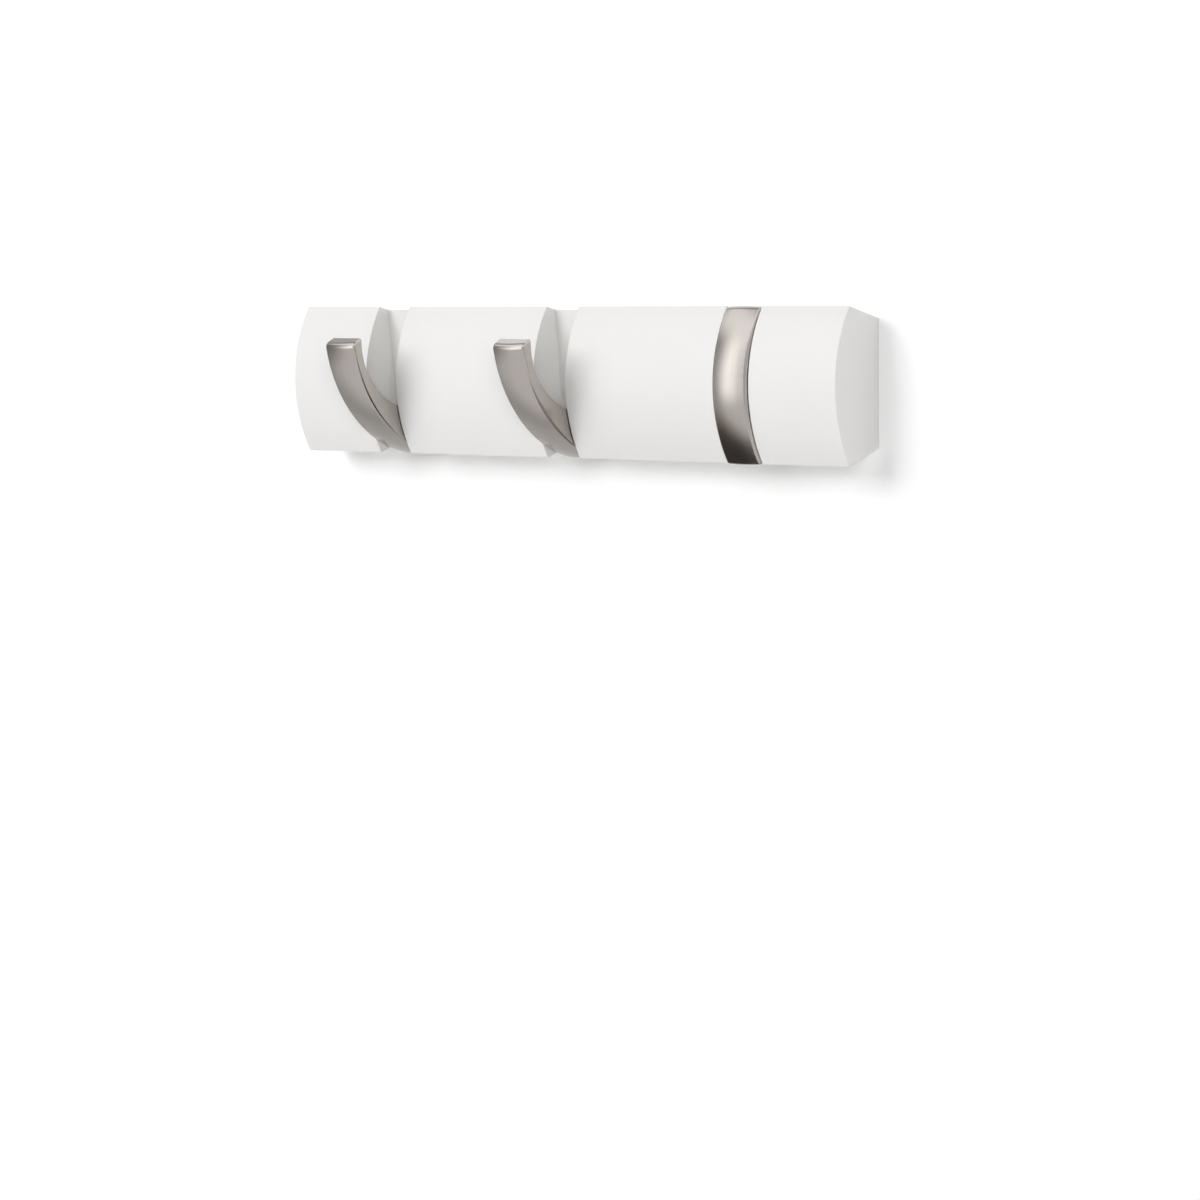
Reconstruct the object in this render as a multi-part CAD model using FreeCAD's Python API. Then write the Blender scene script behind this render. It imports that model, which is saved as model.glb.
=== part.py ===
import FreeCAD, Part
import math
import os

V = FreeCAD.Vector
X_AXIS = V(1, 0, 0)
Y_AXIS = V(0, 1, 0)

# Millimetres. X runs along the rail, the wall is the plane Y = 0 and the room is towards -Y.
# Z is up, with Z = 0 at half the rail's height.

# Rail: outer form
rail_length = 343.0
rail_height = 69.85
rail_depth = 29.5
corner_depth = 19.8
top_fall = 5.5
bottom_rise = 7.5
rail_edge_round = 0.6

# Rail: moulding
shell_wall = 2.5
floor_wall = 2.6
rib_thickness = 1.8
rib_setback = 1.0
middle_rib_count = 2

# Slots for the hooks
hook_names = ("left", "middle", "right")
open_hooks = ("left", "middle")
slot_end_margin = 60.5
slot_width = 20.4
slot_floor_depth = 4.95
slot_knee_height = 16.5
slot_corner_round = 0.8
slot_rim_round = 0.4

# Hook
hook_side_gap = 0.3
hook_proud_middle = 1.3
hook_proud_end = 0.7
hook_crown_radius = 60.0
hook_tip_thickness = 5.7
hook_hollow_radius = 32.0
hook_tip_round = 3.0
hook_edge_round = 1.2
hook_back_round = 0.5
thumb_tab_depth = 4.8
open_angle = 42.0
stop_gap = 0.25

# Pivot
pivot_depth = 16.0
pivot_rise = 14.6
drum_radius = 7.5
pin_radius = 2.0
pin_seat_gap = 0.03
pin_running_gap = 0.06
pin_head_radius = 3.6
pin_head_height = 1.4
pin_tail = 2.2
pin_chamfer = 0.4
pin_boss_radius = 5.0
pin_boss_height = 3.5

# Retaining clip
clip_thickness = 0.7
clip_radius = 4.4
clip_bite = 0.5
clip_gap = 0.05
clip_mouth = 2.6
clip_prong_width = 1.3
clip_prong_angle = 100.0

# Thrust washer
washer_radius = 5.0
washer_thickness = 0.8
washer_proud = 0.1
washer_side_gap = 0.2
washer_pin_gap = 0.15

# Friction spring
leaf_thickness = 0.6
leaf_width = 11.0
leaf_nose_radius = 4.0
leaf_nose_gap = 0.15
leaf_foot_length = 7.0
leaf_rib_gap = 2.0
leaf_tail_drop = 7.7
leaf_tail_gap = 0.4
leaf_bend = 1.2
window_margin = 0.6
window_top = 7.2
window_bottom = 6.8
spring_boss_height = 3.2
spring_boss_radius = 3.0

# Keyhole plate
plate_offset = 35.0
plate_rise = 12.0
plate_width = 36.0
plate_height = 21.0
plate_thickness = 1.5
plate_setback = 2.6
plate_corner = 3.0
plate_edge_gap = 0.3
keyhole_entry_radius = 4.5
keyhole_slot_radius = 2.3
keyhole_travel = 9.5
keyhole_drop = 4.2
plate_screw_reach = 13.0
plate_boss_radius = 3.6

# Small pan-head screws
screw_radius = 1.1
screw_head_radius = 2.4
screw_head_height = 1.6
screw_length = 5.0
screw_pilot_gap = 0.05
screw_hole_gap = 0.3
screw_tip_gap = 0.2
recess_length = 2.6
recess_width = 0.6
recess_depth = 0.8

# Sizes that follow from the ones above
half_length = rail_length / 2
half_height = rail_height / 2
half_slot = slot_width / 2
half_rib = rib_thickness / 2
slot_side = half_slot + shell_wall
whole_length = (-half_length, half_length)
whole_height = (-half_height, half_height)
hook_pitch = (rail_length - 2 * slot_end_margin) / (len(hook_names) - 1)
hook_width = slot_width - 2 * hook_side_gap
bow = rail_depth - corner_depth
front_radius = (half_height ** 2 + bow ** 2) / (2 * bow)
arc_centre_y = front_radius - rail_depth
hook_bow = bow + hook_proud_middle - hook_proud_end
hook_radius = (half_height ** 2 + hook_bow ** 2) / (2 * hook_bow)
hook_centre_y = hook_radius - rail_depth - hook_proud_middle
crown_drop = hook_crown_radius - math.sqrt(hook_crown_radius ** 2 - (hook_width / 2) ** 2)
crest_radius = hook_radius + crown_drop
top_slope = -top_fall / corner_depth
bottom_slope = bottom_rise / corner_depth
pivot = V(0, -pivot_depth, pivot_rise - half_height)
pin_seat_radius = pin_radius + pin_seat_gap
boss_face = slot_side + pin_boss_height
leaf_seat = drum_radius + stop_gap + floor_wall + spring_boss_height

# How far cutting shapes run past what they cut, and how near counts as touching
beyond = 20.0
past = 1.0
near = 0.01


def polar(centre, radius, angle):
    """Point at an angle, in radians from +Y towards +Z, on a circle in the YZ plane."""
    return V(0, centre.y + radius * math.cos(angle), centre.z + radius * math.sin(angle))


def tangent_angle(centre, radius, point):
    """Angle at which the line from a point below a circle touches its wall side."""
    reach = math.hypot(point.y - centre.y, point.z - centre.z)
    bearing = math.atan2(point.z - centre.z, point.y - centre.y)
    return bearing + math.acos(radius / reach)


def circles_meet(centre_a, radius_a, centre_b, radius_b):
    """Upper point where two circles in the YZ plane cross."""
    gap_y = centre_b.y - centre_a.y
    gap_z = centre_b.z - centre_a.z
    reach = math.hypot(gap_y, gap_z)
    along = (radius_a ** 2 - radius_b ** 2 + reach ** 2) / (2 * reach)
    height = math.sqrt(radius_a ** 2 - along ** 2)
    y = centre_a.y + (along * gap_y + height * gap_z) / reach
    z = centre_a.z + (along * gap_z - height * gap_y) / reach
    return V(0, y, z)


def outer_z(slope, end_z, y, inset=0.0):
    """Height of the slanted top or bottom face at a depth, moved inwards by an inset."""
    inwards = -1 if end_z > 0 else 1
    return end_z + slope * (y + corner_depth) + inwards * inset * math.sqrt(1 + slope ** 2)


def arc_corner(slope, end_z, centre_y, radius, inset=0.0):
    """Corner of an arc, its centre at half height, and the slanted top or bottom face."""
    level = outer_z(slope, end_z, 0, inset)
    a = 1 + slope ** 2
    b = slope * level - centre_y
    c = centre_y ** 2 + level ** 2 - radius ** 2
    y = (-b - math.sqrt(b ** 2 - a * c)) / a
    return V(0, y, level + slope * y)


def rail_section(inset, back_y):
    """Face of the rail's end profile, moved inwards at the front, top and bottom."""
    top = arc_corner(top_slope, half_height, arc_centre_y, front_radius - inset, inset)
    low = arc_corner(bottom_slope, -half_height, arc_centre_y, front_radius - inset, inset)
    nose = V(0, inset - rail_depth, 0)
    back_top = V(0, back_y, outer_z(top_slope, half_height, back_y, inset))
    back_low = V(0, back_y, outer_z(bottom_slope, -half_height, back_y, inset))
    edges = [
        Part.Arc(top, nose, low).toShape(),
        Part.makeLine(low, back_low),
        Part.makeLine(back_low, back_top),
        Part.makeLine(back_top, top),
    ]
    return Part.Face(Part.Wire(edges))


def along_x(face, start, end):
    """Solid swept from a face in the YZ plane, between two places along the rail."""
    solid = face.extrude(V(end - start, 0, 0))
    solid.translate(V(start, 0, 0))
    return solid


def block(x_range, y_range, z_range):
    """Box between pairs of limits."""
    sides = [limits[1] - limits[0] for limits in (x_range, y_range, z_range)]
    return Part.makeBox(*sides, V(x_range[0], y_range[0], z_range[0]))


def rounded(solid, radius, wanted):
    """Solid with the edges rounded that the wanted test picks."""
    return solid.makeFillet(radius, [edge for edge in solid.Edges if wanted(edge)])


def joined(shapes):
    """One compound of separate shapes."""
    return Part.makeCompound(shapes)


def hook_x(name):
    """Place of a hook's middle along the rail."""
    return (hook_names.index(name) - (len(hook_names) - 1) / 2) * hook_pitch


# Geometry of the lug and of the stop that it meets when the hook is open

tab_corner_y = thumb_tab_depth - corner_depth
tab_corner = V(0, tab_corner_y, outer_z(bottom_slope, -half_height, tab_corner_y))
tab_angle = tangent_angle(pivot, drum_radius, tab_corner)
stop_lean = math.degrees(tab_angle) + open_angle

# Height of the leaf's foot, which ends a set distance under the lengthwise rib
leaf_slant = math.radians(stop_lean)
leaf_top_z = -half_rib - leaf_rib_gap
leaf_top_reach = (leaf_seat + leaf_thickness) * math.sin(leaf_slant)
leaf_foot_top = (leaf_top_z - pivot.z - leaf_top_reach) / math.cos(leaf_slant)
leaf_foot_bottom = leaf_foot_top - leaf_foot_length
leaf_hole_height = leaf_foot_top - leaf_foot_length / 2


def lean(shape):
    """Turn a shape made with its plate upright at the pivot onto the slant of the open stop."""
    shape.rotate(pivot, X_AXIS, stop_lean)
    return shape


def stop_point(distance, height):
    """Point at a distance behind the pivot, square to the stop, and a height up along it."""
    angle = math.radians(stop_lean)
    y = pivot.y + distance * math.cos(angle) - height * math.sin(angle)
    z = pivot.z + distance * math.sin(angle) + height * math.cos(angle)
    return V(0, y, z)


def floor_line(shift):
    """Three points down the slot's floor: top edge, knee and bottom, moved towards the wall."""
    stop_distance = drum_radius + stop_gap
    knee = stop_point(stop_distance, slot_knee_height)
    top = V(0, slot_floor_depth - corner_depth, half_height)
    steep = (top.y - knee.y) / (top.z - knee.z)
    head = V(0, top.y + steep * beyond, top.z + beyond)
    foot = stop_point(stop_distance, -half_height)
    return [point + V(0, shift, 0) for point in (head, knee, foot)]


# Rail

def slot_cutter():
    """What one slot removes, centred on X = 0, with round corners along its floor."""
    head, knee, foot = floor_line(0)
    front_y = -rail_depth - beyond
    outline = [head, knee, foot, V(0, front_y, foot.z), V(0, front_y, head.z), head]
    cutter = along_x(Part.Face(Part.makePolygon(outline)), -half_slot, half_slot)

    def on_floor(edge):
        middle = edge.CenterOfMass
        at_side = abs(abs(middle.x) - half_slot) < near
        return at_side and middle.y > front_y / 2 and edge.BoundBox.YLength < beyond

    return rounded(cutter, slot_corner_round, on_floor)


def rail_outside():
    """Outer form with its slots and softened edges."""
    solid = along_x(rail_section(0, 0), -half_length, half_length)
    solid = rounded(solid, rail_edge_round, lambda edge: edge.CenterOfMass.y < -near)
    for name in hook_names:
        cutter = slot_cutter()
        cutter.translate(V(hook_x(name), 0, 0))
        solid = solid.cut(cutter)
    floor_edge_y = slot_floor_depth - corner_depth

    def on_rim(edge):
        box = edge.BoundBox
        flat = box.XLength < near
        inner = abs(box.XMin) < half_length - hook_pitch / 4
        return flat and inner and edge.CenterOfMass.y < floor_edge_y - slot_corner_round

    return rounded(solid, slot_rim_round, on_rim)


def cell(start, end, face):
    """Hollow between two ribs, split by the lengthwise rib at half height."""
    hollow = along_x(face, start, end)
    return hollow.cut(block((start, end), (-rail_depth, past), (-half_rib, half_rib)))


def hollows():
    """Cells open to the wall: between the slots, towards the ends and behind each slot floor."""
    section = rail_section(shell_wall, past)
    cells = []
    for left, right in zip(hook_names, hook_names[1:]):
        start = hook_x(left) + slot_side
        end = hook_x(right) - slot_side
        step = (end - start + rib_thickness) / (middle_rib_count + 1)
        for index in range(middle_rib_count + 1):
            cell_start = start + index * step
            cells.append(cell(cell_start, cell_start + step - rib_thickness, section))
    for side in (-1, 1):
        stations = [
            hook_pitch + slot_side,
            hook_pitch + plate_offset - plate_screw_reach - half_rib,
            hook_pitch + plate_offset - plate_screw_reach + half_rib,
            hook_pitch + plate_offset + plate_screw_reach - half_rib,
            hook_pitch + plate_offset + plate_screw_reach + half_rib,
            half_length - shell_wall,
        ]
        for inner_x, outer_x in zip(stations[::2], stations[1::2]):
            start, end = sorted((side * inner_x, side * outer_x))
            cells.append(cell(start, end, section))
    head, knee, foot = floor_line(floor_wall)
    outline = [head, knee, foot, V(0, past, foot.z), V(0, past, head.z), head]
    behind = Part.Face(Part.makePolygon(outline))
    for name in hook_names:
        x = hook_x(name)
        back_cell = cell(x - half_slot, x + half_slot, section)
        cells.append(back_cell.common(along_x(behind, x - half_slot, x + half_slot)))
    return joined(cells)


def rib_relief():
    """Shallow cut that leaves the crosswise ribs a little short of the wall."""
    inside = along_x(rail_section(shell_wall, past), shell_wall - half_length, half_length - shell_wall)
    inside = inside.common(block(whole_length, (-rib_setback, past), whole_height))
    depth = (-rib_setback - past, 2 * past)
    keep = [block(whole_length, depth, (-half_rib, half_rib))]
    for name in hook_names:
        for side in (-1, 1):
            wall = sorted((hook_x(name) + side * half_slot, hook_x(name) + side * slot_side))
            keep.append(block(wall, depth, whole_height))
    return inside.cut(joined(keep))


def pin_bosses(x):
    """Bosses on the outer sides of one slot's walls."""
    bosses = []
    for side in (-1, 1):
        start = x + side * (half_slot + shell_wall / 2)
        length = pin_boss_height + shell_wall / 2
        bosses.append(Part.makeCylinder(pin_boss_radius, length, V(start, pivot.y, pivot.z), V(side, 0, 0)))
    return bosses


def spring_boss(x):
    """Boss on the back of the slot floor that carries the friction spring's foot."""
    start = drum_radius + stop_gap + floor_wall / 2
    base = V(x, pivot.y + start, pivot.z + leaf_hole_height)
    return lean(Part.makeCylinder(spring_boss_radius, leaf_seat - start, base, Y_AXIS))


def spring_window(x):
    """Window in the slot floor that lets the spring's nose reach the drum."""
    half_width = leaf_width / 2 + window_margin
    y_start = pivot.y + drum_radius - past
    limits = (pivot.z - window_bottom, pivot.z + window_top)
    return lean(block((x - half_width, x + half_width), (y_start, y_start + 2 * floor_wall), limits))


def spring_pilot(x):
    """Blind hole for the spring's screw."""
    seat = V(x, pivot.y + leaf_seat, pivot.z + leaf_hole_height)
    return lean(Part.makeCylinder(screw_radius + screw_pilot_gap, screw_length, seat, -Y_AXIS))


def plate_bosses(side):
    """Two tall bosses, each on a rib, that carry one keyhole plate."""
    bosses = []
    for reach in (-plate_screw_reach, plate_screw_reach):
        x = side * (hook_pitch + plate_offset) + reach
        base = V(x, -rail_depth + shell_wall, plate_rise)
        height = rail_depth - shell_wall - plate_setback - plate_thickness
        bosses.append(Part.makeCylinder(plate_boss_radius, height, base, Y_AXIS))
    return bosses


def plate_cuts(side):
    """Room for one keyhole plate in the ribs, and the pilot holes of its screws."""
    x = side * (hook_pitch + plate_offset)
    half_width = plate_width / 2 + plate_edge_gap
    low = plate_rise - plate_height / 2 - plate_edge_gap
    high = plate_rise + plate_height / 2 + plate_edge_gap
    seat_y = -plate_setback - plate_thickness
    cuts = [block((x - half_width, x + half_width), (seat_y, past), (low, high))]
    for reach in (-plate_screw_reach, plate_screw_reach):
        seat = V(x + reach, seat_y, plate_rise)
        cuts.append(Part.makeCylinder(screw_radius + screw_pilot_gap, screw_length, seat, -Y_AXIS))
    return cuts


def rail_body():
    """The moulding: bowed shell, slots, ribs, bosses, bores and windows."""
    outside = rail_outside()
    body = outside.cut(hollows())
    body = body.cut(rib_relief())
    added = []
    for name in hook_names:
        added.extend(pin_bosses(hook_x(name)))
        added.append(spring_boss(hook_x(name)))
    for side in (-1, 1):
        added.extend(plate_bosses(side))
    body = body.fuse(joined(added).common(outside))
    bore_end = boss_face + past
    bore = Part.makeCylinder(pin_seat_radius, 2 * bore_end, V(-bore_end, pivot.y, pivot.z), X_AXIS)
    cuts = []
    for name in hook_names:
        cuts.append(bore.translated(V(hook_x(name), 0, 0)))
        cuts.append(spring_window(hook_x(name)))
        cuts.append(spring_pilot(hook_x(name)))
    for side in (-1, 1):
        cuts.extend(plate_cuts(side))
    for cutter in cuts:
        body = body.cut(cutter)
    return body.removeSplitter()


# Hook

def hook_profile():
    """Side profile, closed: front with room for the crown, hollow back, round lug and thumb tab."""
    outer_radius = crest_radius + past
    top = arc_corner(top_slope, half_height, hook_centre_y, outer_radius)
    low = arc_corner(bottom_slope, -half_height, hook_centre_y, outer_radius)
    tip_back = arc_corner(top_slope, half_height, hook_centre_y, hook_radius - hook_tip_thickness)
    hollow = circles_meet(pivot, hook_hollow_radius + drum_radius, tip_back, hook_hollow_radius)
    drum_top_angle = math.atan2(hollow.z - pivot.z, hollow.y - pivot.y)
    drum_top = polar(pivot, drum_radius, drum_top_angle)
    hollow_middle = polar(hollow, hook_hollow_radius, arc_middle(hollow, tip_back, drum_top))
    drum_middle = polar(pivot, drum_radius, (drum_top_angle + tab_angle) / 2)
    drum_low = polar(pivot, drum_radius, tab_angle)
    edges = [
        Part.Arc(top, V(0, hook_centre_y - outer_radius, 0), low).toShape(),
        Part.makeLine(low, tab_corner),
        Part.makeLine(tab_corner, drum_low),
        Part.Arc(drum_low, drum_middle, drum_top).toShape(),
        Part.Arc(drum_top, hollow_middle, tip_back).toShape(),
        Part.makeLine(tip_back, top),
    ]
    return Part.Face(Part.Wire(edges))


def arc_middle(centre, start, end):
    """Mean bearing of two points that lie on the room side of a circle's centre."""
    total = 0.0
    for point in (start, end):
        total += math.atan2(point.z - centre.z, point.y - centre.y) % (2 * math.pi)
    return total / 2


def crown():
    """Ring about the bow's axis, whose rim is crowned from side to side."""
    half_width = hook_width / 2
    edge_y = hook_centre_y - hook_radius
    inner_y = hook_centre_y - hook_radius / 2
    edges = [
        Part.Arc(V(-half_width, edge_y, 0), V(0, edge_y - crown_drop, 0), V(half_width, edge_y, 0)).toShape(),
        Part.makeLine(V(half_width, edge_y, 0), V(half_width, inner_y, 0)),
        Part.makeLine(V(half_width, inner_y, 0), V(-half_width, inner_y, 0)),
        Part.makeLine(V(-half_width, inner_y, 0), V(-half_width, edge_y, 0)),
    ]
    axis = V(0, hook_centre_y, 0)
    section = Part.Face(Part.Wire(edges))
    section.rotate(axis, X_AXIS, -90)
    return section.revolve(axis, X_AXIS, 180)


def edge_reach(edge):
    """Distance of an edge's middle from the axis of the hook's bow."""
    middle = edge.valueAt((edge.FirstParameter + edge.LastParameter) / 2)
    return math.hypot(middle.y - hook_centre_y, middle.z)


def hook():
    """One hook, closed, centred on X = 0."""
    half_width = hook_width / 2
    body = along_x(hook_profile(), -half_width, half_width).common(crown())

    def across(edge):
        return edge.BoundBox.XLength > hook_width - near

    def at_tip(edge):
        return across(edge) and edge.BoundBox.ZMin > half_height / 2 and edge_reach(edge) > hook_radius

    def at_low_front(edge):
        low = edge.BoundBox.ZMax < tab_corner.z + near
        return across(edge) and low and edge_reach(edge) > hook_radius - past

    def at_side(edge):
        box = edge.BoundBox
        return edge.Length > near and box.XLength < near and abs(box.XMax) > half_width - near

    def at_front_side(edge):
        return at_side(edge) and edge_reach(edge) > hook_radius - near

    body = rounded(body, hook_tip_round, at_tip)
    body = rounded(body, hook_edge_round, at_low_front)
    body = rounded(body, hook_edge_round, at_front_side)
    body = rounded(body, hook_back_round, at_side)
    bore_radius = pin_radius + pin_running_gap
    bore = Part.makeCylinder(bore_radius, 2 * hook_width, V(-hook_width, pivot.y, pivot.z), X_AXIS)
    body = body.cut(bore)
    for side in (-1, 1):
        seat = V(side * (half_width - washer_thickness + washer_proud), pivot.y, pivot.z)
        recess = Part.makeCylinder(washer_radius + washer_side_gap, hook_width, seat, V(side, 0, 0))
        body = body.cut(recess)
    return body


def posed(shape, name):
    """Shape of a hook's own pieces, moved to its slot and opened where the hook is open."""
    placed = shape.copy()
    if name in open_hooks:
        placed.rotate(pivot, X_AXIS, open_angle)
    placed.translate(V(hook_x(name), 0, 0))
    return placed


def thrust_washers():
    """The two washers let into the sides of one lug."""
    washers = []
    for side in (-1, 1):
        seat = V(side * (hook_width / 2 - washer_thickness + washer_proud), pivot.y, pivot.z)
        outside = Part.makeCylinder(washer_radius, washer_thickness, seat, V(side, 0, 0))
        hole = Part.makeCylinder(pin_radius + washer_pin_gap, washer_thickness, seat, V(side, 0, 0))
        washers.append(outside.cut(hole))
    return joined(washers)


# Pin and its clip

def pivot_pin():
    """Headed pin with a groove for its clip, centred on X = 0."""
    groove_start = boss_face + clip_gap
    groove_end = groove_start + clip_thickness + 2 * clip_gap
    groove_radius = pin_radius - clip_bite
    end = boss_face + pin_tail
    outline = [
        V(-boss_face - pin_head_height, 0, 0),
        V(-boss_face - pin_head_height, 0, pin_head_radius - pin_chamfer),
        V(-boss_face - pin_head_height + pin_chamfer, 0, pin_head_radius),
        V(-boss_face, 0, pin_head_radius),
        V(-boss_face, 0, pin_radius),
        V(groove_start, 0, pin_radius),
        V(groove_start, 0, groove_radius),
        V(groove_end, 0, groove_radius),
        V(groove_end, 0, pin_radius),
        V(end - pin_chamfer, 0, pin_radius),
        V(end, 0, pin_radius - pin_chamfer),
        V(end, 0, 0),
    ]
    face = Part.Face(Part.makePolygon(outline + outline[:1]))
    pin = face.revolve(V(0, 0, 0), X_AXIS, 360)
    pin.translate(pivot)
    return pin


def pin_clip():
    """Open clip with three prongs that sits in the pin's groove."""
    start = boss_face + 2 * clip_gap
    groove_radius = pin_radius - clip_bite
    ring = Part.makeCylinder(clip_radius, clip_thickness, V(start, 0, 0), X_AXIS)
    hollow = Part.makeCylinder(pin_radius + clip_bite, clip_thickness, V(start, 0, 0), X_AXIS)
    thickness = (start, start + clip_thickness)
    half_prong = clip_prong_width / 2
    prong = block(thickness, (-half_prong, half_prong), (0, pin_radius + clip_bite + half_prong))
    ring = ring.cut(hollow)
    for angle in (0, clip_prong_angle, -clip_prong_angle):
        arm = prong.copy()
        arm.rotate(V(0, 0, 0), X_AXIS, angle)
        ring = ring.fuse(arm)
    half_mouth = clip_mouth / 2
    mouth = block(thickness, (-half_mouth, half_mouth), (-clip_radius, 0))
    bore = Part.makeCylinder(groove_radius + clip_gap, clip_thickness, V(start, 0, 0), X_AXIS)
    clip = ring.cut(mouth).cut(bore).removeSplitter()
    clip.translate(pivot)
    return clip


# Friction spring and screws

def leaf_side(shift):
    """Main points of one side of the upright leaf, moved towards the wall by a shift."""
    seat = leaf_seat + shift
    radius = leaf_nose_radius - shift
    centre = V(0, drum_radius + leaf_nose_gap + leaf_nose_radius, 0)
    tail_y = drum_radius + stop_gap + floor_wall + leaf_tail_gap + shift
    bend = V(0, seat, leaf_foot_bottom)
    tail = V(0, tail_y, -leaf_tail_drop)
    return centre, radius, seat, bend, tail


def touch(centre, radius, point, turn):
    """Bearing at which a line from a point touches the room side of a circle."""
    reach = math.hypot(point.y - centre.y, point.z - centre.z)
    bearing = math.atan2(point.z - centre.z, point.y - centre.y)
    return bearing + turn * math.acos(radius / reach)


def friction_spring():
    """Formed leaf: flat foot on its boss, a run down to the round nose, and a free tail."""
    points = []
    arcs = []
    for shift in (0, leaf_thickness):
        centre, radius, seat, bend, tail = leaf_side(shift)
        upper = touch(centre, radius, bend, 1)
        lower = touch(centre, radius, tail, -1) + 2 * math.pi
        foot = V(0, seat, leaf_foot_top)
        points.append((foot, bend, polar(centre, radius, upper), polar(centre, radius, lower), tail))
        arcs.append(polar(centre, radius, (upper + lower) / 2))
    (foot_a, bend_a, top_a, low_a, tail_a), (foot_b, bend_b, top_b, low_b, tail_b) = points
    edges = [
        Part.makeLine(foot_a, bend_a),
        Part.makeLine(bend_a, top_a),
        Part.Arc(top_a, arcs[0], low_a).toShape(),
        Part.makeLine(low_a, tail_a),
        Part.makeLine(tail_a, tail_b),
        Part.makeLine(tail_b, low_b),
        Part.Arc(low_b, arcs[1], top_b).toShape(),
        Part.makeLine(top_b, bend_b),
        Part.makeLine(bend_b, foot_b),
        Part.makeLine(foot_b, foot_a),
    ]
    leaf = along_x(Part.Face(Part.Wire(edges)), -leaf_width / 2, leaf_width / 2)

    def at_bend(edge):
        return edge.BoundBox.XLength > near and abs(edge.CenterOfMass.z - leaf_foot_bottom) < near

    leaf = rounded(leaf, leaf_bend, at_bend)
    hole = Part.makeCylinder(screw_radius + screw_hole_gap, beyond, V(0, 0, leaf_hole_height), Y_AXIS)
    leaf = leaf.cut(hole)
    leaf.translate(pivot)
    return lean(leaf)


def pan_screw():
    """Pan-head screw with its head's seat at the origin, pointing to -Y, with a cross recess."""
    shank = Part.makeCylinder(screw_radius, screw_length - screw_tip_gap, V(0, 0, 0), -Y_AXIS)

    def on_tip(edge):
        return edge.BoundBox.YLength < near and edge.CenterOfMass.y < -near

    shank = shank.makeChamfer(screw_radius / 2, [edge for edge in shank.Edges if on_tip(edge)])
    head = Part.makeCylinder(screw_head_radius, screw_head_height, V(0, 0, 0), Y_AXIS)

    def on_rim(edge):
        return edge.BoundBox.YLength < near and edge.CenterOfMass.y > near

    head = rounded(head, screw_head_height / 2, on_rim)
    screw = head.fuse(shank)
    depth = (screw_head_height - recess_depth, screw_head_height + past)
    half_long = recess_length / 2
    half_wide = recess_width / 2
    screw = screw.cut(block((-half_long, half_long), depth, (-half_wide, half_wide)))
    screw = screw.cut(block((-half_wide, half_wide), depth, (-half_long, half_long)))
    return screw.removeSplitter()


def spring_screw():
    """Screw through the foot of the leaf."""
    screw = pan_screw()
    screw.translate(pivot + V(0, leaf_seat + leaf_thickness, leaf_hole_height))
    return lean(screw)


# Keyhole plates

def keyhole_plate():
    """Stamped plate with a keyhole, its middle at X = 0."""
    low = plate_rise - plate_height / 2
    x_limits = (-plate_width / 2, plate_width / 2)
    y_limits = (-plate_setback - plate_thickness, -plate_setback)
    plate = block(x_limits, y_limits, (low, low + plate_height))
    plate = rounded(plate, plate_corner, lambda edge: edge.BoundBox.YLength > near)
    entry_z = plate_rise - keyhole_drop
    entry = Part.makeCylinder(keyhole_entry_radius, beyond, V(0, -beyond, entry_z), Y_AXIS)
    top_z = entry_z + keyhole_travel
    slot_top = Part.makeCylinder(keyhole_slot_radius, beyond, V(0, -beyond, top_z), Y_AXIS)
    neck = block((-keyhole_slot_radius, keyhole_slot_radius), (-beyond, 0), (entry_z, top_z))
    plate = plate.cut(entry.fuse(slot_top).fuse(neck))
    for reach in (-plate_screw_reach, plate_screw_reach):
        start = V(reach, -beyond, plate_rise)
        plate = plate.cut(Part.makeCylinder(screw_radius + screw_hole_gap, beyond, start, Y_AXIS))
    return plate


def plate_screws():
    """The two screws of one keyhole plate."""
    screws = []
    for reach in (-plate_screw_reach, plate_screw_reach):
        screws.append(pan_screw().translated(V(reach, -plate_setback, plate_rise)))
    return joined(screws)


def build():
    """All sub-parts by node name."""
    nodes = {"rail_body": rail_body()}
    closed_hook = hook()
    washers = thrust_washers()
    fixed = {
        "pivot_pin": pivot_pin(),
        "pin_clip": pin_clip(),
        "friction_spring": friction_spring(),
        "spring_screw": spring_screw(),
    }
    for name in hook_names:
        nodes["hook_" + name] = posed(closed_hook, name)
        nodes["thrust_washers_" + name] = posed(washers, name)
        for piece, shape in fixed.items():
            nodes[piece + "_" + name] = shape.translated(V(hook_x(name), 0, 0))
    for side, name in ((-1, "left"), (1, "right")):
        place = V(side * (hook_pitch + plate_offset), 0, 0)
        nodes["keyhole_plate_" + name] = keyhole_plate().translated(place)
        nodes["plate_screws_" + name] = plate_screws().translated(place)
    return nodes


os.makedirs("parts", exist_ok=True)
for node, shape in build().items():
    shape.exportStep("parts/" + node + ".step")
    print(node, len(shape.Solids), "solids", round(shape.Volume), "mm3", "valid", shape.isValid())
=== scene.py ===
import math

import bpy
import numpy as np
from mathutils import Matrix, Vector


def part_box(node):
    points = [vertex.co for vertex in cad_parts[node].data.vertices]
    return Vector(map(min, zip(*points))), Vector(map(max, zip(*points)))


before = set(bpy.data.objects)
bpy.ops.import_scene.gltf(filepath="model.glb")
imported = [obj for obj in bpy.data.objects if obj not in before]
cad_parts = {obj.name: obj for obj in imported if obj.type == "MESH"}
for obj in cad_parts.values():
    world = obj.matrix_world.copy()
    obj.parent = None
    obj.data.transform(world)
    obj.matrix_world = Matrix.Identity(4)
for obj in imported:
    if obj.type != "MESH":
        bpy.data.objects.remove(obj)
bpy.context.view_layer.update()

scene = bpy.context.scene
hookNames = ("left", "middle", "right")
white = (1, 1, 1)
print("frame loaded:", len(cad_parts), "nodes")


# Camera

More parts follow.
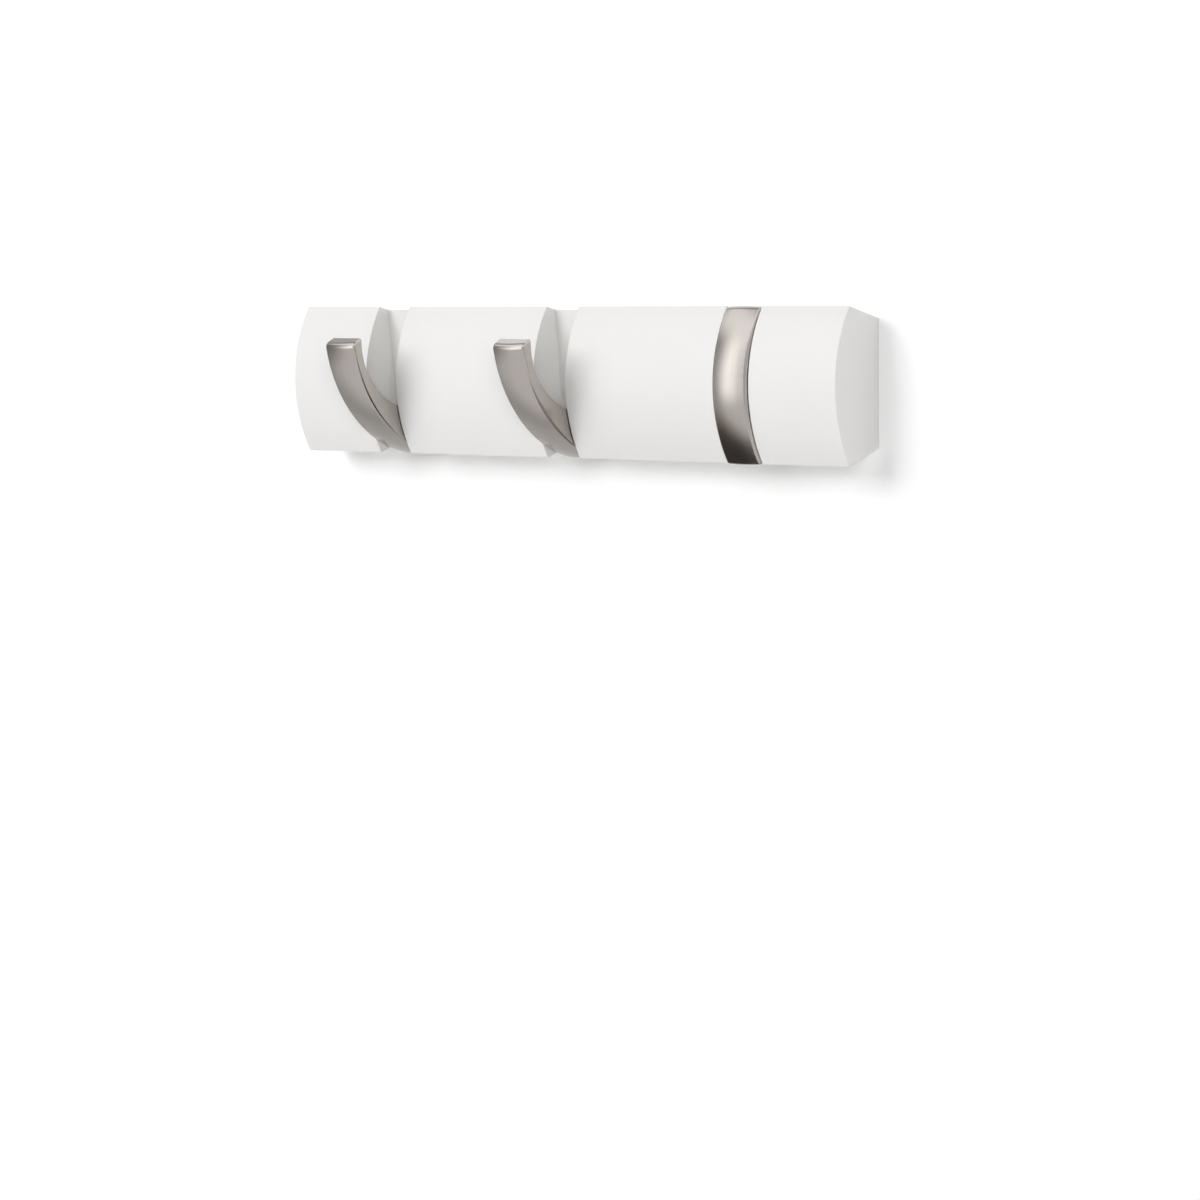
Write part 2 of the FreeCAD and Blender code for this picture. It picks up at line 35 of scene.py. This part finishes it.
cameraValues = {
    "yaw": 43.386,                # degrees round Z from straight in front
    "pitch": 4.22,                # looking down
    "roll": -0.408,
    "focalPixels": 4302.572,
    "imagePixels": 1200,
    "sensor": 36.0,
    # the frame's origin seen from the camera: right, up, ahead
    "offset": (-0.003173, 0.101104, 1.989821),
}


def makeCamera(v):
    yaw, pitch, roll = (math.radians(v[key]) for key in ("yaw", "pitch", "roll"))
    ahead = Vector((-math.sin(yaw) * math.cos(pitch), math.cos(yaw) * math.cos(pitch), -math.sin(pitch)))
    level = Vector((math.cos(yaw), math.sin(yaw), 0))
    upright = level.cross(ahead)
    right = math.cos(roll) * level + math.sin(roll) * upright
    up = math.cos(roll) * upright - math.sin(roll) * level
    sideways, upwards, forwards = v["offset"]
    place = -(sideways * right + upwards * up + forwards * ahead)
    data = bpy.data.cameras.new("camera")
    data.sensor_width = v["sensor"]
    data.lens = v["focalPixels"] * v["sensor"] / v["imagePixels"]
    camera = bpy.data.objects.new("camera", data)
    scene.collection.objects.link(camera)
    turn = Matrix((right, up, -ahead)).transposed()
    camera.matrix_world = Matrix.Translation(place) @ turn.to_4x4()
    scene.camera = camera
    return camera


camera = makeCamera(cameraValues)
print("camera at", tuple(round(c, 4) for c in camera.location))


# Small helpers for node trees

evenSpan = (-1.0, 1.0)            # what the groups' soft noise is spread over
fullSpan = (0.0, 1.0)


def newMaterial(name):
    material = bpy.data.materials.new(name)
    material.use_nodes = True
    material.node_tree.nodes.clear()
    return material, material.node_tree


def feed(tree, socket, value):
    # links another node's socket, or sets a plain value; a colour gets its alpha here
    if isinstance(value, bpy.types.NodeSocket):
        tree.links.new(value, socket)
    elif socket.type == "RGBA":
        socket.default_value = (*value, 1)
    else:
        socket.default_value = value


def addNode(tree, kind, inputs=None, **settings):
    node = tree.nodes.new(kind)
    for key, value in settings.items():
        setattr(node, key, value)
    for key, value in (inputs or {}).items():
        feed(tree, node.inputs[key], value)
    return node


def endWith(tree, kind, inputs, output="ShaderNodeOutputMaterial"):
    # the last shader of a tree, joined to its output
    shader = addNode(tree, kind, inputs)
    addNode(tree, output, {0: shader.outputs[0]})


def objectPlace(tree):
    return addNode(tree, "ShaderNodeTexCoord").outputs["Object"]


def axesOf(tree, vector):
    return addNode(tree, "ShaderNodeSeparateXYZ", {0: vector}).outputs


def mathNode(tree, operation, *values):
    return addNode(tree, "ShaderNodeMath", dict(enumerate(values)), operation=operation).outputs[0]


def distanceOf(tree, first, second):
    # root of the two squares' sum
    squares = [mathNode(tree, "POWER", side, 2.0) for side in (first, second)]
    return mathNode(tree, "SQRT", mathNode(tree, "ADD", *squares))


def remap(tree, value, source, target, change="LINEAR"):
    ends = {"From Min": source[0], "From Max": source[1], "To Min": target[0], "To Max": target[1]}
    return addNode(tree, "ShaderNodeMapRange", {"Value": value, **ends}, interpolation_type=change).outputs[0]


def softStep(tree, value, span):
    # 0 at the span's first end and 1 at its second, which may be the lower one
    return remap(tree, value, span, fullSpan, "SMOOTHSTEP")


def mixValue(tree, share, first, second):
    # a Mix node takes values in its sockets 2 and 3, and colours in 6 and 7
    return addNode(tree, "ShaderNodeMix", {"Factor": share, 2: first, 3: second}).outputs[0]


def mixColour(tree, share, first, second, blend="MIX"):
    inputs = {"Factor": share, 6: first, 7: second}
    return addNode(tree, "ShaderNodeMix", inputs, data_type="RGBA", blend_type=blend).outputs[2]


def noise(tree, vector, scale, detail):
    inputs = {"Vector": vector, "Scale": scale, "Detail": detail}
    return addNode(tree, "ShaderNodeTexNoise", inputs).outputs[0]


def bumped(tree, height, depth, onto=None):
    inputs = {"Height": height, "Distance": depth, "Strength": 1.0}
    if onto is not None:
        inputs["Normal"] = onto
    return addNode(tree, "ShaderNodeBump", inputs).outputs[0]


def newGroup(name, inputs, outputs):
    group = bpy.data.node_groups.new(name, "ShaderNodeTree")
    for side, sockets in (("INPUT", inputs), ("OUTPUT", outputs)):
        for title, kind in sockets:
            group.interface.new_socket(title, in_out=side, socket_type="NodeSocket" + kind)
    return group, group.nodes.new("NodeGroupInput").outputs, group.nodes.new("NodeGroupOutput").inputs


def useGroup(tree, group, **values):
    return addNode(tree, "ShaderNodeGroup", values, node_tree=group).outputs


# Shader groups

noiseValues = {
    "span": (0.3, 0.7),           # where the noise is taken to start and end
    "cloudDetail": 3.0,
    "speckDetail": 2.0,
    "lineDetail": 3.0,
    "lineScale": 1.0,
    "streakDetail": 2.0,
    "streakScale": 0.12,
}


def buildMottle(v):
    # two sizes of soft noise, each spread evenly about zero
    group, given, result = newGroup(
        "mottle",
        [("Vector", "Vector"), ("Coarse", "Float"), ("Fine", "Float")],
        [("Cloud", "Float"), ("Speck", "Float")],
    )
    for title, size, detail in (("Cloud", "Coarse", v["cloudDetail"]), ("Speck", "Fine", v["speckDetail"])):
        spots = noise(group, given["Vector"], given[size], detail)
        group.links.new(remap(group, spots, v["span"], evenSpan), result[title])
    return group


def buildGrain(v):
    # noise drawn out along one axis, for brushed or rolled metal
    group, given, result = newGroup(
        "grain",
        [("Vector", "Vector"), ("Across", "Float"), ("Along", "Float")],
        [("Line", "Float"), ("Streak", "Float")],
    )
    factors = {0: given["Across"], 1: given["Along"], 2: given["Across"]}
    stretch = addNode(group, "ShaderNodeCombineXYZ", factors).outputs[0]
    product = addNode(group, "ShaderNodeVectorMath", {0: given["Vector"], 1: stretch}, operation="MULTIPLY")
    drawn = product.outputs[0]
    group.links.new(noise(group, drawn, v["lineScale"], v["lineDetail"]), result["Line"])
    streak = noise(group, drawn, v["streakScale"], v["streakDetail"])
    group.links.new(remap(group, streak, v["span"], evenSpan), result["Streak"])
    return group


mottle = buildMottle(noiseValues)
grain = buildGrain(noiseValues)
print("shader groups built")


# What the materials share: a second colour that comes and goes, and roughness spread about its middle

def twoTone(tree, cloud, v):
    share = remap(tree, cloud, evenSpan, (0.0, v["shadeShare"]))
    return mixColour(tree, share, v["colour"], v["shade"])


def unevenRoughness(tree, cloud, v):
    middle, spread = v["roughness"], v["roughnessSpread"]
    return remap(tree, cloud, evenSpan, (middle - spread, middle + spread))


# White moulded rail

railValues = {
    "colour": (0.845, 0.838, 0.825),
    "shade": (0.80, 0.79, 0.77),
    "shadeShare": 0.10,
    "roughness": 0.42,
    "roughnessSpread": 0.035,
    "refraction": 1.5,
    "cloudScale": 35.0,
    "speckScale": 2600.0,
    "skinDepth": 0.000012,
    # the inside has a coarser skin, which starts in the middle of the wall
    "innerRoughness": 0.12,       # added to the outside's
    "wall": 0.0025,
    "bowCentre": 0.03823,         # Y of the front bow's centre
    "innerHeight": 0.026,         # how far it reaches above and below the rail's middle
    "hookPitch": 0.111,
    "slotWidth": 0.0204,
    # round marks of the ejector pins on the floors of the cells between the slots; each rim gets painted
    # shade in the colour
    "markFirst": 0.0264,          # X of the first mark's middle
    "markStep": 0.02913,          # from cell to cell
    "markEnd": 0.098,             # no marks beyond this X
    "markHeight": 0.0131,         # above or below the rail's middle
    "markRadius": 0.0028,
    "markEdge": 0.0003,           # half the width of the rim, over which the disc fades
    "markDepth": 0.00008,
    # how far the painted shade darkens the colour along each mark's rim
    "markRimPaintedShade": 0.35,
}


def insideMask(tree, parts, v):
    # 1 within the bow's radius about its centre and clear of the ends and slots, else 0
    low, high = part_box("rail_body")
    forward = mathNode(tree, "SUBTRACT", v["bowCentre"], parts["Y"])
    limits = [
        (distanceOf(tree, forward, parts["Z"]), v["bowCentre"] - low.y - v["wall"] / 2),
        (mathNode(tree, "ABSOLUTE", parts["X"]), high.x - v["wall"] / 2),
        (mathNode(tree, "ABSOLUTE", parts["Z"]), v["innerHeight"]),
    ]
    # distance from the nearest slot's middle
    aside = mathNode(tree, "PINGPONG", parts["X"], v["hookPitch"] / 2)
    inside = mathNode(tree, "GREATER_THAN", aside, (v["slotWidth"] + v["wall"]) / 2)
    for value, limit in limits:
        inside = mathNode(tree, "MULTIPLY", inside, mathNode(tree, "LESS_THAN", value, limit))
    return inside


def ejectorMarks(tree, parts, inside, v):
    # the discs and their rims, which carry painted shade; the marks stand in even steps, mirrored about both
    # axes
    across = mathNode(tree, "ABSOLUTE", parts["X"])
    count = mathNode(tree, "DIVIDE", mathNode(tree, "SUBTRACT", across, v["markFirst"]), v["markStep"])
    middle = mathNode(tree, "MULTIPLY_ADD", mathNode(tree, "ROUND", count), v["markStep"], v["markFirst"])
    aside = mathNode(tree, "SUBTRACT", across, middle)
    above = mathNode(tree, "SUBTRACT", mathNode(tree, "ABSOLUTE", parts["Z"]), v["markHeight"])
    away = distanceOf(tree, aside, above)
    disc = softStep(tree, away, (v["markRadius"] + v["markEdge"], v["markRadius"] - v["markEdge"]))
    rim = mathNode(tree, "COMPARE", away, v["markRadius"], v["markEdge"])
    marked = mathNode(tree, "MULTIPLY", inside, mathNode(tree, "LESS_THAN", across, v["markEnd"]))
    return [mathNode(tree, "MULTIPLY", marked, form) for form in (disc, rim)]


def railMaterial(v):
    material, tree = newMaterial("whiteMoulding")
    place = objectPlace(tree)
    parts = axesOf(tree, place)
    spots = useGroup(tree, mottle, Vector=place, Coarse=v["cloudScale"], Fine=v["speckScale"])
    inside = insideMask(tree, parts, v)
    disc, rim = ejectorMarks(tree, parts, inside, v)
    # painted shade: the colour is darkened along each mark's rim
    paintedRimShade = mathNode(tree, "MULTIPLY", rim, v["markRimPaintedShade"])
    outerRoughness = unevenRoughness(tree, spots["Cloud"], v)
    skin = bumped(tree, spots["Speck"], v["skinDepth"])
    endWith(tree, "ShaderNodeBsdfPrincipled", {
        "Base Color": mixColour(tree, paintedRimShade, twoTone(tree, spots["Cloud"], v), v["shade"], "MULTIPLY"),
        "Roughness": mathNode(tree, "MULTIPLY_ADD", inside, v["innerRoughness"], outerRoughness),
        "IOR": v["refraction"],
        "Normal": bumped(tree, disc, v["markDepth"], skin),
    })
    return material


# Satin nickel hooks

hookValues = {
    "colour": (0.50, 0.466, 0.438),
    "shade": (0.44, 0.407, 0.377),
    "shadeShare": 0.25,
    "roughness": 0.25,
    "roughnessSpread": 0.02,
    "cloudScale": 70.0,
    "grainAcross": 5200.0,
    "grainAlong": 160.0,
    "grainDepth": 0.0000015,
    "open": ("left", "middle"),   # hooks that are open at rest
    "openAngle": 42.0,
    # the front bow of a closed hook: Y of its centre, and its radius
    "bowCentre": 0.03356,
    "bowRadius": 0.0652,
}


def hookMaterial(name, v):
    material, tree = newMaterial("satinNickel_" + name)
    # the pattern is measured from the hook's middle, and turns with an open hook about its pin
    turn = math.radians(v["openAngle"]) if name in v["open"] else 0.0
    hookLow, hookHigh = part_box("hook_" + name)
    pinLow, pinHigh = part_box("pivot_pin_" + name)
    pivot = (pinLow + pinHigh) / 2
    back = Matrix.Rotation(-turn, 3, "X")
    middle = Vector(((hookLow.x + hookHigh.x) / 2, 0, 0))
    settled = addNode(tree, "ShaderNodeMapping", {
        "Vector": objectPlace(tree),
        "Location": pivot - back @ pivot - middle,
        "Rotation": (-turn, 0, 0),
    }).outputs[0]
    parts = axesOf(tree, settled)
    # length along the bow: the bearing from its centre, times its radius
    forward = mathNode(tree, "SUBTRACT", v["bowCentre"], parts["Y"])
    bearing = mathNode(tree, "ARCTAN2", parts["Z"], forward)
    length = mathNode(tree, "MULTIPLY", bearing, v["bowRadius"])
    lined = addNode(tree, "ShaderNodeCombineXYZ", {0: parts["X"], 1: length}).outputs[0]
    brush = useGroup(tree, grain, Vector=lined, Across=v["grainAcross"], Along=v["grainAlong"])
    spots = useGroup(tree, mottle, Vector=settled, Coarse=v["cloudScale"])
    endWith(tree, "ShaderNodeBsdfPrincipled", {
        "Base Color": twoTone(tree, brush["Streak"], v),
        "Metallic": 1.0,
        "Roughness": unevenRoughness(tree, spots["Cloud"], v),
        "Normal": bumped(tree, brush["Line"], v["grainDepth"]),
    })
    return material


# Nylon washers

washerValues = {
    "colour": (0.80, 0.78, 0.71),
    "shade": (0.68, 0.65, 0.56),
    "shadeShare": 0.5,
    "roughness": 0.48,
    "roughnessSpread": 0.05,
    "cloudScale": 400.0,
    "speckScale": 4000.0,
    "skinDepth": 0.00001,
}


def washerMaterial(v):
    material, tree = newMaterial("washerNylon")
    spots = useGroup(tree, mottle, Vector=objectPlace(tree), Coarse=v["cloudScale"], Fine=v["speckScale"])
    endWith(tree, "ShaderNodeBsdfPrincipled", {
        "Base Color": twoTone(tree, spots["Cloud"], v),
        "Roughness": unevenRoughness(tree, spots["Cloud"], v),
        "Normal": bumped(tree, spots["Speck"], v["skinDepth"]),
    })
    return material


# Steel and zinc pieces: what they share, then each finish with its lines' axis, fineness and depth

steelCommon = {
    "shadeShare": 1.0,
    "roughnessSpread": 0.07,
    "cloudScale": 180.0,
    "blotchReach": 1.6,           # streaks and clouds together reach this far from zero
}
steelValues = {
    "pivot_pin": {
        "colour": (0.62, 0.62, 0.63), "shade": (0.50, 0.50, 0.52), "roughness": 0.25,
        "axis": "X", "across": 4000.0, "along": 400.0, "depth": 0.000003,
    },
    "pin_clip": {
        "colour": (0.13, 0.13, 0.14), "shade": (0.07, 0.07, 0.08), "roughness": 0.47,
        "axis": "Z", "across": 2500.0, "along": 600.0, "depth": 0.000004,
    },
    "friction_spring": {
        "colour": (0.42, 0.45, 0.50), "shade": (0.30, 0.31, 0.37), "roughness": 0.31,
        "axis": "Z", "across": 5000.0, "along": 90.0, "depth": 0.000004,
    },
    "screws": {
        "colour": (0.66, 0.63, 0.55), "shade": (0.50, 0.48, 0.44), "roughness": 0.33,
        "axis": "Z", "across": 2500.0, "along": 900.0, "depth": 0.000003,
    },
    "keyhole_plate": {
        "colour": (0.66, 0.67, 0.67), "shade": (0.52, 0.53, 0.54), "roughness": 0.35,
        "axis": "X", "across": 3500.0, "along": 70.0, "depth": 0.000004,
    },
}


def steelMaterial(name, v):
    material, tree = newMaterial("steel_" + name)
    place = objectPlace(tree)
    parts = axesOf(tree, place)
    # the axis of the lines goes second, where the grain is drawn out
    order = {"X": "YXZ", "Z": "XZY"}[v["axis"]]
    lined = addNode(tree, "ShaderNodeCombineXYZ", {index: parts[axis] for index, axis in enumerate(order)})
    brush = useGroup(tree, grain, Vector=lined.outputs[0], Across=v["across"], Along=v["along"])
    spots = useGroup(tree, mottle, Vector=place, Coarse=v["cloudScale"])
    blotch = mathNode(tree, "ADD", brush["Streak"], spots["Cloud"])
    blotch = mathNode(tree, "DIVIDE", blotch, v["blotchReach"])
    endWith(tree, "ShaderNodeBsdfPrincipled", {
        "Base Color": twoTone(tree, blotch, v),
        "Metallic": 1.0,
        "Roughness": unevenRoughness(tree, blotch, v),
        "Normal": bumped(tree, brush["Line"], v["depth"]),
    })
    return material


def dress(node, material):
    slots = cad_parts[node].data.materials
    slots.clear()
    slots.append(material)


dress("rail_body", railMaterial(railValues))
washerFinish = washerMaterial(washerValues)
steelFinishes = {name: steelMaterial(name, {**steelCommon, **values}) for name, values in steelValues.items()}
for name in hookNames:
    dress("hook_" + name, hookMaterial(name, hookValues))
    dress("thrust_washers_" + name, washerFinish)
    dress("spring_screw_" + name, steelFinishes["screws"])
    for piece in ("pivot_pin", "pin_clip", "friction_spring"):
        dress(piece + "_" + name, steelFinishes[piece])
for name in ("left", "right"):
    dress("keyhole_plate_" + name, steelFinishes["keyhole_plate"])
    dress("plate_screws_" + name, steelFinishes["screws"])
print("finishes placed on the packed pieces")


# Wall and floor

roomValues = {
    "wallWidth": 6.0,
    "wallTop": 2.5,
    "floorDrop": 1.2,
    "floorReach": 4.0,
    "gap": 0.0002,                # between the rail's back and the wall
    "colour": (0.95, 0.95, 0.95),
    # extra brightness for camera, mirror and see-through rays only
    "wallLift": 0.122,
    "floorLift": 0.55,
}


def shownShare(tree):
    # 1 for camera, mirror and see-through rays, else 0
    path = addNode(tree, "ShaderNodeLightPath").outputs
    shown = mathNode(tree, "ADD", path["Is Camera Ray"], path["Is Glossy Ray"])
    return mathNode(tree, "MINIMUM", mathNode(tree, "ADD", shown, path["Is Transmission Ray"]), 1.0)


def roomMaterial(name, v):
    # seen from behind, the wall and floor are clear
    material, tree = newMaterial(name)
    lift = mathNode(tree, "MULTIPLY", shownShare(tree), v[name + "Lift"])
    matt = addNode(tree, "ShaderNodeBsdfDiffuse", {"Color": v["colour"]})
    glow = addNode(tree, "ShaderNodeEmission", {"Color": white, "Strength": lift})
    lit = addNode(tree, "ShaderNodeAddShader", {0: matt.outputs[0], 1: glow.outputs[0]})
    clear = addNode(tree, "ShaderNodeBsdfTransparent")
    behind = addNode(tree, "ShaderNodeNewGeometry").outputs["Backfacing"]
    endWith(tree, "ShaderNodeMixShader", {0: behind, 1: lit.outputs[0], 2: clear.outputs[0]})
    return material


def placeMesh(name, points, faces, material):
    mesh = bpy.data.meshes.new(name)
    mesh.from_pydata(points, [], faces)
    mesh.materials.append(material)
    thing = bpy.data.objects.new(name, mesh)
    scene.collection.objects.link(thing)
    return thing


def makeSheet(name, corners, material):
    return placeMesh(name, corners, [tuple(range(len(corners)))], material)


def rectangle(left, right, low, high):
    return [(left, low), (right, low), (right, high), (left, high)]


def makeRoom(v):
    half, drop, gap = v["wallWidth"] / 2, v["floorDrop"], v["gap"]
    wallCorners = [(x, gap, z) for x, z in rectangle(-half, half, -drop, v["wallTop"])]
    floorCorners = [(x, y, -drop) for x, y in rectangle(-half, half, -v["floorReach"], gap)]
    wall = makeSheet("wall", wallCorners, roomMaterial("wall", v))
    makeSheet("floor", floorCorners, roomMaterial("floor", v))
    # the lamp behind lights the rail's back through the wall, and mirror rays pass it to the studio shell
    wall.visible_shadow = False
    wall.visible_glossy = False


makeRoom(roomValues)
print("wall and floor placed")


# Light

lampValues = {
    # bearing is in degrees left of straight in front, height in degrees above level
    "key": {"bearing": 28.0, "height": 26.0, "distance": 2.4, "width": 1.6, "tall": 1.6, "power": 42.5},
    "fill": {"bearing": -45.0, "height": 8.0, "distance": 2.4, "width": 0.8, "tall": 0.8, "power": 17.0},
    "back": {"bearing": 160.0, "height": 14.0, "distance": 2.4, "width": 1.2, "tall": 1.0, "power": 18.0},
}
skyValues = {
    "lighting": 0.10,
    "shown": 1.0,
}


def makeLamp(name, v):
    bearing, height = math.radians(v["bearing"]), math.radians(v["height"])
    toward = Vector((
        -math.sin(bearing) * math.cos(height),
        -math.cos(bearing) * math.cos(height),
        math.sin(height),
    ))
    data = bpy.data.lights.new(name, "AREA")
    data.shape = "RECTANGLE"
    data.size = v["width"]
    data.size_y = v["tall"]
    data.energy = v["power"]
    lamp = bpy.data.objects.new(name, data)
    lamp.location = toward * v["distance"]
    lamp.rotation_euler = (-toward).to_track_quat("-Z", "Y").to_euler()
    lamp.visible_glossy = False        # the studio shell gives the mirror images
    scene.collection.objects.link(lamp)


def makeSky(v):
    world = bpy.data.worlds.new("studio")
    world.use_nodes = True
    tree = world.node_tree
    tree.nodes.clear()
    strength = remap(tree, shownShare(tree), fullSpan, (v["lighting"], v["shown"]))
    endWith(tree, "ShaderNodeBackground", {"Color": white, "Strength": strength}, "ShaderNodeOutputWorld")
    scene.world = world


for name, values in lampValues.items():
    makeLamp(name, values)
makeSky(skyValues)
print("lamps and sky placed")


# Studio shell and cards: what mirror rays meet, in front of the wall and behind it; no other rays meet them

shellValues = {
    "radius": 1.1,
    "rings": 24,
    "columns": 36,
    # brightness, and pairs of degrees where a change starts and where it is complete
    "upperBase": (0.22, 0.68),     # left, right
    "upperTurn": (60.0, 33.0),
    "lowerBase": (0.45, 0.85),
    "lowerTurn": (80.0, 52.0),
    "lowerStart": (-12.0, -22.0),
    "panel": 1.60,                 # extra brightness of the tall soft panel
    "panelLeft": (51.0, 37.5),
    "panelRight": (17.0, 34.0),
    "panelFoot": (-18.0, -2.0),
    "canopy": 1.50,                # brightness of a band above the panel
    "canopyFoot": (23.0, 34.0),
    "canopyLeft": (82.0, 66.0),
    "zenith": 0.42,                # brightness overhead
    "zenithFoot": (43.0, 56.0),
    "rear": (0.60, 1.20),          # behind the wall: low, high
    "rearTurn": (-45.0, 45.0),
}


def shellDirection(tree):
    # from the origin to the place on the shell
    toward = addNode(tree, "ShaderNodeVectorMath", {0: objectPlace(tree)}, operation="NORMALIZE")
    return axesOf(tree, toward.outputs[0])


def heightOf(tree, parts):
    # degrees above level
    return mathNode(tree, "DEGREES", mathNode(tree, "ARCSINE", parts["Z"]))


def bearingOf(tree, parts):
    # degrees left of straight in front
    leftwards, outwards = (mathNode(tree, "MULTIPLY", parts[axis], -1.0) for axis in "XY")
    return mathNode(tree, "DEGREES", mathNode(tree, "ARCTAN2", leftwards, outwards))


def rearMaterial(v):
    material, tree = newMaterial("studioRear")
    height = heightOf(tree, shellDirection(tree))
    strength = mixValue(tree, softStep(tree, height, v["rearTurn"]), *v["rear"])
    endWith(tree, "ShaderNodeEmission", {"Color": white, "Strength": strength})
    return material


def shellMaterial(v):
    material, tree = newMaterial("studioShell")
    parts = shellDirection(tree)
    height, bearing = heightOf(tree, parts), bearingOf(tree, parts)
    upper = mixValue(tree, softStep(tree, bearing, v["upperTurn"]), *v["upperBase"])
    lower = mixValue(tree, softStep(tree, bearing, v["lowerTurn"]), *v["lowerBase"])
    strength = mixValue(tree, softStep(tree, height, v["lowerStart"]), upper, lower)
    left, right = (softStep(tree, bearing, v[key]) for key in ("panelLeft", "panelRight"))
    panel = mathNode(tree, "MULTIPLY", left, right)
    panel = mathNode(tree, "MULTIPLY", panel, softStep(tree, height, v["panelFoot"]))
    strength = mathNode(tree, "MULTIPLY_ADD", panel, v["panel"], strength)
    above, aside = softStep(tree, height, v["canopyFoot"]), softStep(tree, bearing, v["canopyLeft"])
    overhead = mixValue(tree, softStep(tree, height, v["zenithFoot"]), v["canopy"], v["zenith"])
    strength = mixValue(tree, mathNode(tree, "MULTIPLY", above, aside), strength, overhead)
    endWith(tree, "ShaderNodeEmission", {"Color": white, "Strength": strength})
    return material


def onlyMirrored(thing):
    thing.visible_camera = False
    thing.visible_diffuse = False
    thing.visible_shadow = False
    thing.visible_transmission = False


def makeShell(name, side, material, v):
    # half a ball on one side of the wall: rings of equal height, points at equal bearings
    heights = np.radians(np.linspace(-90, 90, v["rings"] + 1))[:, None]
    bearings = np.radians(np.linspace(-90, 90, v["columns"] + 1))[None, :]
    points = v["radius"] * np.stack([
        np.cos(heights) * np.sin(bearings),
        side * np.cos(heights) * np.cos(bearings),
        np.sin(heights) + 0 * bearings,
    ], axis=-1)
    number = np.arange(heights.size * bearings.size).reshape(heights.size, bearings.size)
    faces = np.stack([number[:-1, :-1], number[1:, :-1], number[1:, 1:], number[:-1, 1:]], axis=-1)
    onlyMirrored(placeMesh(name, points.reshape(-1, 3).tolist(), faces.reshape(-1, 4).tolist(), material))


makeShell("studioShell", -1, shellMaterial(shellValues), shellValues)
makeShell("studioRear", 1, rearMaterial(shellValues), shellValues)
print("studio shell placed")


cardValues = {
    # low card beside the closed hook: Y and Z of its corners; it darkens below its sloping edge
    "flagX": 0.020,
    "flagCorners": [(-0.004, -0.012), (-0.075, -0.012), (-0.190, -0.166), (-0.190, -0.400), (-0.004, -0.400)],
    "flagShade": (0.45, 0.04),
    "flagDeep": 0.055,            # how far below that edge it is darkest
    "flagTint": (1.0, 0.88, 0.82),
    # grey cards on the wall at the left: the ends of their X, then of their Z
    "wallCardY": -0.003,
    "lowCard": (-1.0, -0.18, -1.0, -0.06),
    "highCard": (-1.0, -0.18, 0.06, 1.0),
    "wallCardShade": 0.57,
}


def flagMaterial(v):
    # the shade follows the depth below the line through the flag's second and third corners
    material, tree = newMaterial("flagShade")
    (startY, startZ), (endY, endZ) = v["flagCorners"][1:3]
    slope = (endZ - startZ) / (endY - startY)
    parts = axesOf(tree, objectPlace(tree))
    line = mathNode(tree, "MULTIPLY_ADD", parts["Y"], slope, startZ - slope * startY)
    depth = mathNode(tree, "SUBTRACT", mathNode(tree, "MINIMUM", line, startZ), parts["Z"])
    strength = mixValue(tree, softStep(tree, depth, (0.0, v["flagDeep"])), *v["flagShade"])
    endWith(tree, "ShaderNodeEmission", {"Color": v["flagTint"], "Strength": strength})
    return material


def makeCards(v):
    flag = [(v["flagX"], y, z) for y, z in v["flagCorners"]]
    onlyMirrored(makeSheet("flag", flag, flagMaterial(v)))
    material, tree = newMaterial("wallCardShade")
    endWith(tree, "ShaderNodeEmission", {"Color": white, "Strength": v["wallCardShade"]})
    for name in ("lowCard", "highCard"):
        corners = [(x, v["wallCardY"], z) for x, z in rectangle(*v[name])]
        onlyMirrored(makeSheet(name, corners, material))


makeCards(cardValues)
scene.view_settings.view_transform = "Standard"
print("cards placed")
